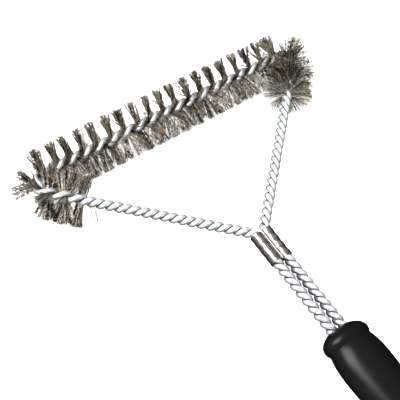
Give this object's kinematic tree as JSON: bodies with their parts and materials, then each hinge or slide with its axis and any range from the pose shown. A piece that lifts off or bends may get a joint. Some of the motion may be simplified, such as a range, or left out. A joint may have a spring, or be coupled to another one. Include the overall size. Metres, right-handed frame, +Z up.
{
  "type": "grill cleaning brush",
  "caption": "Triangular twisted-wire grill brush: steel bristles clamped along the front bar and round both corners, with a crimped ferrule, a twisted wire stem and an oval moulded handle.",
  "frame": {"origin": "under the middle of the brush's bounding box, on the surface that it rests on", "axes": "+Y from the handle to the front bar, +Z up as the brush lies on a table, +X to the right along the front bar"},
  "size_m": [0.2117, 0.3059, 0.0328],
  "materials": {
    "wire": "bright zinc-plated drawn steel wire",
    "bristles": "fine stainless bristles",
    "ferrule": "crimped sheet steel, satin",
    "handle": "moulded black plastic, semi-gloss"
  },
  "bodies": {
    "root": {"bristle_tuft_01": "bristles", "bristle_tuft_02": "bristles", "bristle_tuft_03": "bristles", "bristle_tuft_04": "bristles", "bristle_tuft_05": "bristles", "bristle_tuft_06": "bristles", "bristle_tuft_07": "bristles", "bristle_tuft_08": "bristles", "bristle_tuft_09": "bristles", "bristle_tuft_10": "bristles", "bristle_tuft_11": "bristles", "bristle_tuft_12": "bristles", "bristle_tuft_13": "bristles", "bristle_tuft_14": "bristles", "bristle_tuft_15": "bristles", "bristle_tuft_16": "bristles", "bristle_tuft_17": "bristles", "bristle_tuft_18": "bristles", "bristle_tuft_19": "bristles", "bristle_tuft_20": "bristles", "bristle_tuft_21": "bristles", "bristle_tuft_22": "bristles", "bristle_tuft_23": "bristles", "bristle_tuft_24": "bristles", "bristle_tuft_25": "bristles", "bristle_tuft_26": "bristles", "bristle_tuft_27": "bristles", "ferrule": "ferrule", "handle": "handle", "wire_a_front_bar": "wire", "wire_a_left_arm": "wire", "wire_a_left_closing": "wire", "wire_a_left_corner": "wire", "wire_a_left_neck": "wire", "wire_a_left_shoulder": "wire", "wire_a_left_stem": "wire", "wire_a_right_arm": "wire", "wire_a_right_closing": "wire", "wire_a_right_corner": "wire", "wire_a_right_neck": "wire", "wire_a_right_shoulder": "wire", "wire_a_right_stem": "wire", "wire_b_front_bar": "wire", "wire_b_left_arm": "wire", "wire_b_left_closing": "wire", "wire_b_left_corner": "wire", "wire_b_left_neck": "wire", "wire_b_left_shoulder": "wire", "wire_b_left_stem": "wire", "wire_b_right_arm": "wire", "wire_b_right_closing": "wire", "wire_b_right_corner": "wire", "wire_b_right_neck": "wire", "wire_b_right_shoulder": "wire", "wire_b_right_stem": "wire"}
  },
  "joints": []
}
